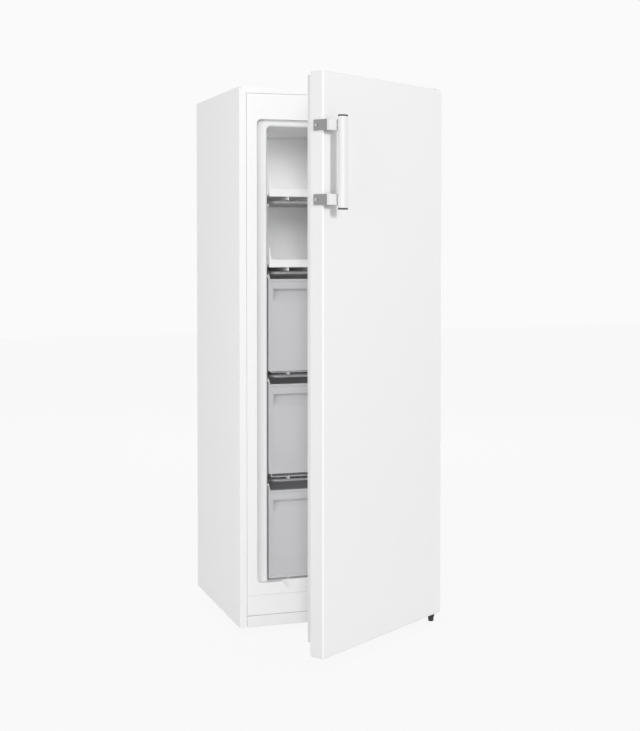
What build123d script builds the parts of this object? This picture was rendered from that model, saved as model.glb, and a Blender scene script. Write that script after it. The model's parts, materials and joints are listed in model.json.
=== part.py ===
from build123d import *
import math
import os

# An upright freezer with one hinged door, three drawers and two open shelves.
# Millimetres. +Z is up, the door faces -Y, and the origin lies on the floor under the middle
# of the whole object as it stands, with its door ajar.

os.makedirs("parts", exist_ok=True)

# ---------------------------------------------------------------- driving dimensions
# Case
case_width = 550.0
case_top = 1463.0
case_bottom = 19.0
case_depth = 488.0
front_y = -63.0  # front plane of the case
sheet = 1.0  # painted steel
case_corner = 2.5
side_flange = 19.4  # width of the folded front flange on the two sides
top_flange = 17.5
flange_lip = 10.0  # the flange folds back this far beside the liner
rear_flange = 15.0
mitre_slit = 0.5
groove = 0.8  # between the flange and the rim of the liner

# Inner liner
liner_wall = 2.0
rim_bottom = 104.0
step_side = 48.3  # from the case's side in to the recess that takes the door's plug
step_over = 85.5  # from that recess up to the top of the case
step_bottom = 136.0
step_depth = 20.0
step_corner = 13.0
room_side = 84.0  # walls of foam round the cold room
room_over = 103.0
room_behind = 60.0
room_corner = 12.0
mouth_round = 8.0
room_back_round = 16.0
hump_behind = 226.0  # the floor steps up here, over the machine compartment
hump_top = 346.0
hump_round = 18.0
scoop_side = 71.2  # drain scoop in the threshold, in from the recess's side
scoop_taper = 16.5
scoop_drop = 20.4
ledge_reach = 6.0
ledge_height = 6.0
ledge_start = 31.5  # behind the front plane

# Base
base_level = 49.6  # underside of the steel floor sheet
panel_bead_side = 125.0  # pressed beads of the back panel, from the case's side
panel_bead_end = 80.0
panel_bead_width = 26.0
machine_depth = 178.0
machine_roof = 296.0
rail_side = 25.0  # from the case's side
rail_width = 28.0
rail_sheet = 2.0
rail_foot = 12.0
plinth_thick = 3.0
plinth_lip = 14.0  # how far its lower lip reaches back, to the base rails
seam = 0.4

# Evaporator shelves: the tube's centre, down from the room's top or up from its floor
upper_shelves = [201.5, 393.0]
lower_shelves = [550.0, 266.0]
tube_radius = 4.0
wire = 1.6
shelf_front = 46.0  # first tube run, behind the front plane
shelf_rear = 52.0  # last tube run, in front of the room's back
shelf_rows = 6
shelf_side = 35.0  # the bends stay this far from the room's side
return_side = 21.0
strap_width = 12.0
strap_thick = 1.5
wire_count = 15
wire_inset = 4.0
clip_width = 25.0
clip_deep = 18.0
clip_tall = 10.0
clip_places = [-34.0, 50.5]
board_rises = [14.5, 15.5]  # lower edges of the two moulded shelves, above their tubes
board_side = 6.5  # their gap to the room's side
board_rear = 30.0
board_joint = 0.3  # the white front is clipped to the plate with this joint
board_lift = 2.0
board_thick = 3.0
board_ribs = 5
board_rib = 2.5
board_rib_wires = 3  # a rib stands on every third wire
trim_height = 21.0
trim_front = 27.0
trim_thick = 3.0
trim_round = 1.2
ear_height = 32.0
ear_foot = 6.5
ear_tip = 2.0

# Drawers, from the top down: each front's top edge, under the tube above it
drawer_drops = [16.0, 19.0, 23.0]
drawer_rises = [16.0, 22.0]  # and its bottom edge, over the tube below it
last_drawer_rise = 4.0  # or over the floor
drawer_side = 3.5  # gap to the room's side
drawer_front = 28.0  # behind the front plane of the case
drawer_plate = 3.0
drawer_corner = 4.0
bead_proud = 5.0
bead_height = 6.0
frame_width = 8.0
frame_corner = 2.0
frame_proud = 1.5
grip_top = 25.0  # below the top edge of the front
grip_height = 40.0
grip_depth = 18.0
grip_inset = 12.0  # from the front's side edge
grip_roof = 10.0  # its deepest part is this tall, and below that it slopes out to the front
grip_round = 5.0
lip_height = 5.0  # a narrow lip over the grip
lip_proud = 2.5
wing_height = 15.0  # a wing stands on each upper corner of the front
wing_foot = 7.0
wing_tip = 1.5
tub_inset = 2.5
tub_wall = 2.2
tub_draft = 1.5
tub_corner = 18.0
tub_rim = 2.5
rim_drop = 4.0  # the tub's rim lies this far below the front's top edge
rim_reach = 6.0  # and reaches this far behind its back wall
tub_rear = 20.0  # clear of the room's back
hump_clear = 8.0
tub_ahead = 20.0  # the tub is drawn longer and cut off at its front
runner_width = 8.0
runner_height = 6.0
runner_inset = 57.5
runner_rear = 40.0
hand_cut = 14.0
hand_width = 160.0
slide_gap = 0.3

# Door
door_side = 1.0  # the door is this much narrower than the case on each side
door_over = 3.2  # and reaches this far above its top
door_under = 9.0  # its lower edge lies this far above the case's
door_thick = 40.2
door_angle = 35.1  # how far it stands open
seal_gap = 14.0
pin_from_side = 10.2
pin_from_face = 26.0
door_round = 4.0
skin_return = 8.0
cap_plate = 3.0
cap_block = 12.0
cap_rib = 5.0
cap_round = 1.5
liner_edge = 1.0
plug_margin = 7.7  # all round, inside the step of the liner
plug_proud = 22.0
plug_corner = 20.0
plug_band = 34.0
plug_dish = 13.0
plug_draft = 8.0
seal_inset = 8.0
seal_lift = 41.0  # lowest edge of the seal, above the case's lower edge
seal_base = 18.0
seal_foot = 2.0
seal_waist = 8.0
seal_tip = 12.0
seal_folds = 3
seal_skin = 0.6
seal_clear = 0.3
magnet_width = 8.0
magnet_thick = 2.0

# Hinges
pin_radius = 4.0
running = 0.05
bush_radius = 7.0
hinge_plate = 3.0
hinge_step = 4.2
lower_plate = 5.0
hinge_nose = 9.0
hinge_width = 44.0
hinge_back = 62.0
screw_radius = 2.0
screw_play = 0.15
screw_head = 2.2
upper_screw = 15.0
lower_screw = 12.0

# Handle
bracket_height = 26.5
bracket_leg = 2.6
bracket_back = 28.0  # the leg reaches this far back along the door's edge
bracket_proud = 14.7
bracket_reach = 45.0
bracket_round = 3.6
handle_screw_back = 19.0
handle_drop = 222.2  # middle of the bar, below the door's top
bracket_spacing = 181.0
bar_length = 230.0
bar_width = 26.0
bar_thick = 20.0
bar_round = 8.5
bar_from_edge = 33.2
bar_proud = 35.0
neck_width = 12.0
bar_end = 4.0

# Feet and rollers
foot_radius = 7.5
foot_height = 13.5
left_foot_back = 92.0
stud_radius = 4.0
roller_radius = 17.0
roller_rear = 38.0  # axle, in front of the case's back
axle_radius = 3.0
axle_length = 31.0
ear_radius = 8.0

# Machine compartment and condenser
tray_sheet = 2.0
tray_flange = 16.0
tray_slots = 3
tray_slot_pitch = 40.0
tray_slot_side = 75.0  # the outermost one, from the case's side
tray_slot_long = 90.0
tray_slot_wide = 12.0
grommet_radius = 10.0
grommet_height = 12.0
shell_x = -46.0
shell_half_x = 100.0
shell_half_y = 68.0
shell_low = 58.0
shell_high = 226.0
shell_bow = 60.0  # corner radius of the shell, seen from above
shell_round = 38.0
shell_seam = 2.5
condenser_radius = 2.5
condenser_off = 14.0
condenser_low = 380.0
condenser_over = 113.0  # its top run, below the case's top
condenser_rows = 11
condenser_side = 70.0
condenser_wire = 1.6
condenser_wires_across = 27
condenser_wire_inset = 10.0
outlet_gap = 17.0  # from the bends to the outlet run
filter_low = 168.0
filter_high = 262.0
filter_radius = 9.5

# Thermostat
box_side = 48.0  # middle of the housing, from the room's side
box_back = 34.0  # its face, behind the front plane
box_width = 70.0
box_deep = 80.0
box_tall = 38.0
knob_radius = 15.0
knob_deep = 11.0
spindle_radius = 3.0

# ---------------------------------------------------------------- places worked out
case_half = case_width / 2
back_y = front_y + case_depth
flange_half = case_half - side_flange
rim_half = flange_half - groove
rim_top = case_top - top_flange - groove
step_half = case_half - step_side
step_top = case_top - step_over
room_half = case_half - room_side
room_top = case_top - room_over
room_depth = case_depth - room_behind
shelf_levels = [room_top - drop for drop in upper_shelves]
shelf_levels += [step_bottom + rise for rise in lower_shelves]
board_lows = [shelf_levels[i] + board_rises[i] for i in range(2)]
drawer_tops = [shelf_levels[i + 1] - drawer_drops[i] for i in range(3)]
drawer_bottoms = [shelf_levels[i + 2] + drawer_rises[i] for i in range(2)]
drawer_bottoms.append(step_bottom + last_drawer_rise)
scoop_half_top = step_half - scoop_side
scoop_half_low = scoop_half_top - scoop_taper
rail_outer = case_half - rail_side
rail_inner = rail_outer - rail_width
rail_middle = rail_outer - rail_width / 2
shelf_half = room_half - shelf_side
shelf_pitch = (room_depth - shelf_front - shelf_rear) / (shelf_rows - 1)
return_x = room_half - return_side
wire_pitch = 2 * (shelf_half - wire_inset) / (wire_count - 1)
drawer_half = room_half - drawer_side
grip_half = drawer_half - grip_inset
tub_half = drawer_half - tub_inset
door_width = case_width - 2 * door_side
door_top = case_top + door_over
door_bottom = case_bottom + door_under
seal_low = case_bottom + seal_lift
handle_middle = door_top - handle_drop
condenser_half = case_half - condenser_side
condenser_pitch = (case_top - condenser_over - condenser_low) / (condenser_rows - 1)
condenser_wire_pitch = 2 * (condenser_half - condenser_wire_inset) / (condenser_wires_across - 1)
outlet_x = condenser_half + outlet_gap
box_x = room_half - box_side
room_back = front_y + room_depth
hump_y = back_y - hump_behind
machine_y = back_y - machine_depth
panel_y = back_y - 2 * sheet  # inner face of the back panel
pin_x = case_half - pin_from_side
pin_y = front_y - seal_gap - door_thick + pin_from_face
door_right = door_width / 2 - pin_x  # the door's edges and faces, measured from its pin
door_left = door_right - door_width
door_face = -pin_from_face
door_back = door_face + door_thick
floor_top = base_level + sheet
wire_levels = [height + tube_radius + wire / 2 for height in shelf_levels]
ledge_tops = [height - tube_radius - strap_thick for height in shelf_levels]

turn = math.radians(door_angle)
door_x = Vector(math.cos(turn), math.sin(turn), 0)
door_y = Vector(-math.sin(turn), math.cos(turn), 0)


def level(z):
    """A horizontal plane at height z."""
    return Plane.XY.offset(z)


def facing(y):
    """The plane that is seen from the front at y: its x runs right and its y runs up."""
    return Plane(origin=(0, y, 0), x_dir=(1, 0, 0), z_dir=(0, -1, 0))


def beside(x):
    """The plane square to X at x: its x runs back and its y runs up."""
    return Plane.YZ.offset(x)


def door_level(z):
    """A horizontal plane of the open door, measured from its pin."""
    return Plane(origin=(pin_x, pin_y, z), x_dir=door_x, z_dir=(0, 0, 1))


def door_facing(y):
    """The plane that is seen from in front of the open door, y behind its pin."""
    return Plane(origin=Vector(pin_x, pin_y, 0) + door_y * y, x_dir=door_x, z_dir=-door_y)


def door_beside(x):
    """The plane square to the open door at x from its pin: its x runs to the door's back."""
    return Plane(origin=Vector(pin_x, pin_y, 0) + door_x * x, x_dir=door_y, z_dir=door_x)


def save(piece, name):
    """Labels a finished piece and writes its file."""
    piece.part.label = name
    export_step(piece.part, f"parts/{name}.step")


def block(low, high, mode=Mode.ADD):
    """An upright block between two corners, in the part that is being built."""
    size = [high[i] - low[i] for i in range(3)]
    with BuildSketch(level(low[2])) as foot:
        with Locations((low[0] + size[0] / 2, low[1] + size[1] / 2)):
            Rectangle(size[0], size[1])
    extrude(foot.sketch, amount=size[2], mode=mode)


def door_block(low, high, mode=Mode.ADD):
    """A block between two corners that are measured in the open door."""
    size = [high[i] - low[i] for i in range(3)]
    with BuildSketch(door_level(low[2])) as foot:
        with Locations((low[0] + size[0] / 2, low[1] + size[1] / 2)):
            Rectangle(size[0], size[1])
    extrude(foot.sketch, amount=size[2], mode=mode)


def post(plane, places, radius, length, mode=Mode.ADD):
    """Round posts of one length that stand on a plane at each place."""
    with BuildSketch(plane) as rounds:
        with Locations(*places):
            Circle(radius)
    extrude(rounds.sketch, amount=length, mode=mode)


def arch(half_width, bottom, top, corner):
    """A flat shape about the middle line, with its two upper corners rounded."""
    with BuildSketch() as shape:
        with Locations((0, (top + bottom) / 2)):
            Rectangle(2 * half_width, top - bottom)
        fillet(shape.vertices().group_by(Axis.Y)[-1], corner)
    return shape.sketch


# ---------------------------------------------------------------- case
inner_half = case_half - sheet
screw_spots = [(pin_x - 9, front_y + 18), (pin_x - 9, front_y + 46), (pin_x - 31, front_y + 46)]

with BuildPart() as case_wrap:
    with BuildSketch(facing(front_y)):
        add(arch(case_half, case_bottom, case_top, case_corner))
        add(arch(inner_half, case_bottom, case_top - sheet, case_corner - sheet), mode=Mode.SUBTRACT)
    extrude(amount=-case_depth)
    # the front flange on both sides and the top
    with BuildSketch(facing(front_y)):
        add(arch(case_half - sheet / 2, case_bottom, case_top - sheet / 2, case_corner - sheet / 2))
        add(arch(flange_half, case_bottom, case_top - top_flange, sheet), mode=Mode.SUBTRACT)
    extrude(amount=-sheet)
    # its lip, folded back beside the liner
    with BuildSketch(facing(front_y)):
        add(arch(flange_half + sheet, case_bottom, case_top - top_flange + sheet, 2 * sheet))
        add(arch(flange_half, case_bottom, case_top - top_flange, sheet), mode=Mode.SUBTRACT)
    extrude(amount=-flange_lip)
    # the rear flange that the back panel is screwed to
    with BuildSketch(facing(back_y - sheet)):
        add(arch(case_half - sheet / 2, case_bottom, case_top - sheet / 2, case_corner - sheet / 2))
        add(
            arch(case_half - rear_flange, case_bottom, case_top - rear_flange, case_corner),
            mode=Mode.SUBTRACT,
        )
    extrude(amount=-sheet)
    # the mitred joints of the front flange
    mitre_length = math.hypot(side_flange, top_flange)
    mitre_angle = math.degrees(math.atan2(top_flange, side_flange))
    with BuildSketch(facing(front_y)):
        for side in (-1, 1):
            with Locations((side * (case_half - side_flange / 2), case_top - top_flange / 2)):
                Rectangle(mitre_length, mitre_slit, rotation=side * mitre_angle)
    extrude(amount=-sheet / 2, mode=Mode.SUBTRACT)
    post(level(case_top - sheet), screw_spots, screw_radius + screw_play, sheet, Mode.SUBTRACT)
save(case_wrap, "case_wrap")

with BuildPart() as back_panel:
    with BuildSketch(facing(panel_y)):
        add(arch(inner_half, machine_roof + sheet, case_top - sheet, case_corner - sheet))
    extrude(amount=-sheet)
    # pressed beads that stiffen the sheet
    with BuildSketch(facing(panel_y + sheet)):
        bead_x = case_half - panel_bead_side
        bead_long = case_top - machine_roof - 2 * panel_bead_end
        with Locations(*[(x, (machine_roof + case_top) / 2) for x in (-bead_x, 0, bead_x)]):
            SlotOverall(bead_long, panel_bead_width, rotation=90)
    extrude(amount=-3.0)
    chamfer(back_panel.edges().group_by(Axis.Y)[-1], 1.8)
save(back_panel, "back_panel")

with BuildPart() as base_plate:
    with BuildSketch(beside(-inner_half)):
        with BuildLine():
            Polyline(
                (front_y, base_level),
                (machine_y, base_level),
                (machine_y, machine_roof),
                (panel_y + sheet, machine_roof),
                (panel_y + sheet, machine_roof + sheet),
                (machine_y - sheet, machine_roof + sheet),
                (machine_y - sheet, floor_top),
                (front_y, floor_top),
                close=True,
            )
        make_face()
    extrude(amount=2 * inner_half)
    # cut back at the front corners, behind the case's flange
    for near, far in ((-case_half, -flange_half), (flange_half, case_half)):
        block((near, front_y, case_bottom), (far, front_y + flange_lip, rim_bottom), Mode.SUBTRACT)
save(base_plate, "base_plate")

# ---------------------------------------------------------------- inner liner and foam


def liner_space(grow):
    """The hollow of the liner as a solid, grown on every wall by the given thickness."""
    with BuildPart() as scoop:
        drop = scoop_drop + grow * math.sqrt(2)
        with BuildSketch(facing(front_y)):
            with BuildLine():
                Polyline(
                    (-scoop_half_top - grow, step_bottom),
                    (scoop_half_top + grow, step_bottom),
                    (scoop_half_low + grow, step_bottom - drop),
                    (-scoop_half_low - grow, step_bottom - drop),
                    close=True,
                )
            make_face()
        extrude(amount=-(drop + step_depth - scoop_drop))
        with BuildSketch(beside(-case_half)):
            with BuildLine():
                Polyline(
                    (front_y, step_bottom),
                    (front_y + drop + step_depth - scoop_drop, step_bottom),
                    (front_y, step_bottom - drop - step_depth + scoop_drop),
                    close=True,
                )
            make_face()
        extrude(amount=case_width, mode=Mode.INTERSECT)
    with BuildPart() as space:
        with BuildSketch(facing(front_y)):
            with Locations((0, (step_top + step_bottom) / 2)):
                RectangleRounded(
                    2 * (step_half + grow), step_top - step_bottom + 2 * grow, step_corner + grow
                )
        extrude(amount=-(step_depth + grow))
        with BuildSketch(facing(front_y)):
            add(arch(room_half + grow, step_bottom - grow, room_top + grow, room_corner + grow))
        extrude(amount=-(room_depth + grow))
        corners = space.edges().filter_by(Axis.Z).group_by(Axis.Y)[-1]
        fillet(corners, room_back_round + grow)
        block(
            (-case_half, hump_y + grow, 0),
            (case_half, back_y, hump_top - grow),
            Mode.SUBTRACT,
        )
        nose = (
            space.edges()
            .filter_by(Axis.X)
            .filter_by_position(Axis.Y, hump_y + grow - 0.1, hump_y + grow + 0.1)
            .sort_by(Axis.Z)[-1]
        )
        fillet(nose, hump_round - grow)
        mouth = space.edges().filter_by_position(
            Axis.Y, front_y + step_depth + grow - 0.1, front_y + step_depth + grow + 0.1
        )
        mouth = mouth.filter_by_position(Axis.X, -room_half - grow - 0.1, room_half + grow + 0.1)
        mouth = mouth.filter_by_position(Axis.Z, step_bottom, room_top + grow + 0.1)
        mouth = mouth.filter_by(lambda e: e.center().Z > step_bottom + 1)
        fillet(mouth, mouth_round - grow)
        add(scoop.part)
    return space.part


liner_hollow = liner_space(0.0)
liner_outside = liner_space(liner_wall)

with BuildPart() as inner_liner:
    block((-rim_half, front_y, rim_bottom), (rim_half, front_y + liner_wall, rim_top))
    add(liner_outside)
    add(liner_hollow, mode=Mode.SUBTRACT)
    # ledges that the evaporator shelves rest on
    for height in ledge_tops:
        for side in (-1, 1):
            near, far = sorted((side * (room_half - ledge_reach), side * (room_half + 1)))
            block(
                (near, front_y + ledge_start, height - ledge_height),
                (far, room_back - 2 * room_back_round, height),
            )
save(inner_liner, "inner_liner")

rail_top_z = rim_bottom - seam
with BuildPart() as front_rail:
    with BuildSketch(beside(-rim_half)):
        with BuildLine():
            Polyline(
                (front_y, floor_top),
                (front_y, rail_top_z),
                (front_y + 12, rail_top_z),
                (front_y + 12, rail_top_z - 1.5),
                (front_y + 1.5, rail_top_z - 1.5),
                (front_y + 1.5, floor_top + 1.5),
                (front_y + 12, floor_top + 1.5),
                (front_y + 12, floor_top),
                close=True,
            )
        make_face()
    extrude(amount=2 * rim_half)
save(front_rail, "front_rail")

with BuildPart() as cabinet_foam:
    block((-rim_half, front_y + liner_wall, rim_bottom), (rim_half, front_y + flange_lip, rim_top))
    block((-rim_half, front_y + 12, floor_top), (rim_half, front_y + 13, rim_bottom))
    with BuildSketch(facing(front_y + flange_lip)):
        add(arch(inner_half, rim_bottom, case_top - sheet, case_corner - sheet))
    extrude(amount=-(panel_y - front_y - flange_lip))
    block((-inner_half, front_y + 12, floor_top), (inner_half, panel_y, rim_bottom))
    block(
        (-inner_half, machine_y - sheet, case_bottom),
        (inner_half, back_y, machine_roof + sheet),
        Mode.SUBTRACT,
    )
    add(liner_outside, mode=Mode.SUBTRACT)
    post(level(case_top), screw_spots, screw_radius + screw_play, -upper_screw, Mode.SUBTRACT)
save(cabinet_foam, "cabinet_foam")

# ---------------------------------------------------------------- base
with BuildPart() as plinth:
    with BuildSketch(facing(front_y)) as plinth_outline:
        with Locations((0, (case_bottom + base_level - seam) / 2)):
            Rectangle(2 * rim_half, base_level - seam - case_bottom)
        fillet(plinth_outline.vertices(), 2.0)
    extrude(amount=-plinth_thick)
    # a stiffening lip along its lower edge
    block(
        (-rim_half + 20, front_y + plinth_thick, case_bottom),
        (rim_half - 20, front_y + plinth_lip, case_bottom + plinth_thick),
    )
save(plinth, "plinth")


def base_rail(side):
    """A hat-section rail under the floor sheet, with ears for the rear roller's axle."""
    low, high = sorted((side * rail_inner, side * rail_outer))
    middle = (low + high) / 2
    start = front_y + plinth_lip
    with BuildPart() as rail:
        with BuildSketch(facing(start)):
            with Locations((middle, (case_bottom + base_level) / 2)):
                Rectangle(high - low, base_level - case_bottom)
            with Locations((middle, case_bottom + rail_sheet / 2)):
                Rectangle(high - low + 2 * rail_foot, rail_sheet)
            with Locations((middle, (case_bottom + base_level - rail_sheet) / 2)):
                Rectangle(
                    high - low - 2 * rail_sheet,
                    base_level - rail_sheet - case_bottom,
                    mode=Mode.SUBTRACT,
                )
        extrude(amount=-(back_y - sheet - start))
        for cheek in (low, high - rail_sheet):
            with BuildSketch(beside(cheek)):
                with Locations((roller_y, roller_radius)):
                    Circle(ear_radius)
                with Locations((roller_y, roller_radius + 6)):
                    Rectangle(2 * ear_radius, 12)
            extrude(amount=rail_sheet)
        with BuildSketch(beside(low - rail_foot)):
            with Locations((roller_y, roller_radius)):
                Circle(axle_radius + running)
        extrude(amount=high - low + 2 * rail_foot, mode=Mode.SUBTRACT)
        if side < 0:
            place = [(-rail_middle, front_y + left_foot_back)]
            block(
                (low + rail_sheet, place[0][1] - 20, case_bottom),
                (high - rail_sheet, place[0][1] + 20, case_bottom + rail_sheet),
            )
            post(level(0), place, stud_radius + running, 2 * base_level, Mode.SUBTRACT)
        else:
            spots = [(x, front_y + y) for x in hinge_holes_x for y in hinge_holes_y]
            post(level(0), spots, screw_radius + screw_play, base_level, Mode.SUBTRACT)
    return rail


roller_y = back_y - roller_rear
hinge_holes_x = (rail_inner - rail_foot / 2, rail_outer + rail_foot / 2)
hinge_holes_y = (22.0, 50.0)
save(base_rail(-1), "base_rail_left")
save(base_rail(1), "base_rail_right")

with BuildPart() as compressor_tray:
    tray_back = back_y - sheet - 4
    block(
        (-inner_half, machine_y, base_level),
        (inner_half, tray_back, base_level + tray_sheet),
    )
    for edge in (machine_y, tray_back - tray_sheet):
        block(
            (-inner_half, edge, base_level + tray_sheet),
            (inner_half, edge + tray_sheet, base_level + tray_flange),
        )
    with BuildSketch(level(base_level)):
        for slot in range(tray_slots):
            x = case_half - tray_slot_side - slot * tray_slot_pitch
            with Locations((x, (machine_y + tray_back) / 2)):
                SlotOverall(tray_slot_long, tray_slot_wide, rotation=90)
    extrude(amount=tray_sheet, mode=Mode.SUBTRACT)
save(compressor_tray, "compressor_tray")

# ---------------------------------------------------------------- compressor
shell_y = (machine_y + panel_y) / 2
tray_top = base_level + tray_sheet
foot_x = shell_half_x - 14
foot_y = shell_half_y - 10
foot_spots = [(shell_x + i * foot_x, shell_y + j * foot_y) for i in (-1, 1) for j in (-1, 1)]
pipe_radius = 4.0
suction_x = shell_x + 52
stub_radius = 5.5
stub_reach = 6.0
discharge_level = 150.0

with BuildPart() as compressor:
    with BuildSketch(level(shell_low)):
        with Locations((shell_x, shell_y)):
            RectangleRounded(2 * shell_half_x, 2 * shell_half_y, shell_bow)
    extrude(amount=shell_high - shell_low)
    fillet(compressor.edges().group_by(Axis.Z)[-1], shell_round)
    fillet(compressor.edges().group_by(Axis.Z)[0], 14)
    # welded seam between the two halves of the shell
    with BuildSketch(level((shell_low + shell_high) / 2 - 10)):
        with Locations((shell_x, shell_y)):
            RectangleRounded(
                2 * (shell_half_x + shell_seam), 2 * (shell_half_y + shell_seam), shell_bow + shell_seam
            )
    extrude(amount=5)
    # stubs that the pipes are brazed to
    post(level(shell_high - shell_round), [(suction_x, shell_y)], stub_radius, shell_round + stub_reach)
    post(beside(shell_x), [(shell_y, discharge_level)], stub_radius, -shell_half_x - stub_reach)
    # mounting plate with its four holes
    with BuildSketch(level(tray_top + grommet_height)):
        with Locations((shell_x, shell_y)):
            RectangleRounded(2 * foot_x + 28, 2 * foot_y + 28, 12)
        with Locations(*foot_spots):
            Circle(4.5, mode=Mode.SUBTRACT)
    extrude(amount=3)
save(compressor, "compressor")

with BuildPart() as compressor_grommets:
    post(level(tray_top), foot_spots, grommet_radius, grommet_height)
    post(level(tray_top + grommet_height), foot_spots, 4.3, 3)
    post(level(tray_top + grommet_height + 3), foot_spots, grommet_radius - 3, 3)
save(compressor_grommets, "compressor_grommets")

with BuildPart() as terminal_cover:
    with BuildSketch(beside(shell_x + shell_half_x - 16)):
        with Locations((shell_y, 110)):
            RectangleRounded(64, 62, 8)
    extrude(amount=46)
    fillet(terminal_cover.edges().group_by(Axis.X)[-1], 5)
    add(compressor.part, mode=Mode.SUBTRACT)
save(terminal_cover, "terminal_cover")


def octagon_tube(name, points, radius, bend):
    """A refrigerant tube along a list of points, with equal bends and an eight-sided section."""
    with BuildPart() as tube:
        with BuildLine() as route:
            FilletPolyline(*points, radius=bend)
        with BuildSketch(Plane(origin=route.line @ 0, z_dir=route.line % 0)):
            RegularPolygon(radius, 8)
        sweep()
    save(tube, name)


octagon_tube(
    "suction_pipe",
    [
        (suction_x, shell_y, shell_high + stub_reach),
        (suction_x, shell_y, shell_high + 26),
        (130, shell_y, shell_high + 26),
        (130, shell_y, machine_roof),
    ],
    pipe_radius,
    16,
)

# ---------------------------------------------------------------- condenser
condenser_y = back_y + condenser_off
condenser_rows_z = [condenser_low + i * condenser_pitch for i in range(condenser_rows)]
condenser_path = []
for number, height in enumerate(condenser_rows_z):
    ends = (-condenser_half, condenser_half)
    if number % 2:
        ends = (condenser_half, -condenser_half)
    condenser_path += [(x, condenser_y, height) for x in ends]
# from its upper end the tube runs down beside the wires to the filter
condenser_path[-1] = (outlet_x, condenser_y, condenser_rows_z[-1])
condenser_path.append((outlet_x, condenser_y, filter_high))
octagon_tube("condenser_tube", condenser_path, condenser_radius, condenser_pitch * 0.45)

with BuildPart() as condenser_wires:
    reach = condenser_rows_z[-1] - condenser_low + 24
    for offset in (-1, 1):
        off = offset * (condenser_radius + condenser_wire / 2)
        with BuildSketch(level(condenser_low - 12)):
            with Locations((0, condenser_y + off)):
                with GridLocations(condenser_wire_pitch, 1, condenser_wires_across, 1):
                    Rectangle(condenser_wire, condenser_wire)
        extrude(amount=reach)
save(condenser_wires, "condenser_wires")

# stand-off clips that hook between the last two wires on each side
wires_inner = condenser_y - condenser_radius - condenser_wire
wires_outer = condenser_y + condenser_radius + condenser_wire
with BuildPart() as condenser_brackets:
    for side in (-1, 1):
        x = side * condenser_wire_pitch * (condenser_wires_across / 2 - 1)
        for row in (1, -1):
            height = condenser_rows_z[row] - condenser_pitch / 2 - 8
            block((x - 12, panel_y + sheet, height), (x + 12, wires_inner, height + 16))
            block((x - 4, wires_inner, height), (x + 4, wires_outer, height + 16))
            block((x - 12, wires_outer, height), (x + 12, wires_outer + 1.5, height + 16))
save(condenser_brackets, "condenser_brackets")

octagon_tube(
    "discharge_pipe",
    [
        (shell_x - shell_half_x - stub_reach, shell_y, discharge_level),
        (-outlet_x, shell_y, discharge_level),
        (-outlet_x, condenser_y, discharge_level),
        (-outlet_x, condenser_y, condenser_low),
        (-condenser_half, condenser_y, condenser_low),
    ],
    3.0,
    12,
)

with BuildPart() as filter_drier:
    with BuildSketch(facing(condenser_y)):
        with BuildLine():
            Polyline(
                (outlet_x, filter_low),
                (outlet_x + 2, filter_low),
                (outlet_x + 3, filter_low + 10),
                (outlet_x + filter_radius, filter_low + 20),
                (outlet_x + filter_radius, filter_high - 20),
                (outlet_x + 4, filter_high - 8),
                (outlet_x + 4, filter_high),
                (outlet_x, filter_high),
                close=True,
            )
        make_face()
    revolve(axis=Axis((outlet_x, condenser_y, 0), (0, 0, 1)))
    # the thin capillary pipe from its lower end up into the insulation
    with BuildLine() as route:
        FilletPolyline(
            (outlet_x, condenser_y, filter_low + 1),
            (outlet_x, condenser_y, 130),
            (outlet_x, shell_y, 130),
            (outlet_x, shell_y, machine_roof),
            radius=16,
        )
    with BuildSketch(Plane(origin=route.line @ 0, z_dir=route.line % 0)):
        RegularPolygon(1.2, 8)
    sweep()
save(filter_drier, "filter_drier")

# ---------------------------------------------------------------- evaporator shelves


def evaporator_route(height):
    """The run of one shelf's tube: out of the back wall, to and fro, and back along the side."""
    row_y = [front_y + shelf_front + i * shelf_pitch for i in range(shelf_rows)]
    route = [(-60, room_back, height), (-60, row_y[-1], height)]
    side = 1
    for y in reversed(row_y):
        if y != row_y[-1]:
            route.append((-side * shelf_half, y, height))
        if y != row_y[0]:
            route.append((side * shelf_half, y, height))
        side = -side
    route.append((-return_x, row_y[0], height))
    route.append((-return_x, room_back, height))
    return route


for number, height in enumerate(shelf_levels, start=1):
    octagon_tube(f"evaporator_tube_{number}", evaporator_route(height), tube_radius, 16)

strap_rows = [front_y + shelf_front + (i + 0.5) * shelf_pitch for i in (0, 2, 4)]
with BuildPart() as evaporator_straps:
    for height in ledge_tops:
        for y in strap_rows:
            block(
                (-room_half + 0.5, y - strap_width / 2, height),
                (room_half - 0.5, y + strap_width / 2, height + strap_thick),
            )
save(evaporator_straps, "evaporator_straps")

wire_back = room_back - clip_deep
wire_front = front_y + trim_front + trim_thick
with BuildPart() as evaporator_wires:
    for height in wire_levels:
        with BuildSketch(level(height - wire / 2)):
            with Locations((0, (wire_front + wire_back) / 2)):
                with GridLocations(wire_pitch, 1, wire_count, 1):
                    Rectangle(wire, wire_back - wire_front)
        extrude(amount=wire)
save(evaporator_wires, "evaporator_wires")


with BuildPart() as evaporator_clips:
    for height in shelf_levels:
        for x in clip_places:
            block(
                (x - clip_width / 2, wire_back, height),
                (x + clip_width / 2, room_back, height + clip_tall),
            )
    fillet(evaporator_clips.edges().filter_by(Axis.Y), 2)
save(evaporator_clips, "evaporator_clips")

board_half = room_half - board_side


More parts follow.
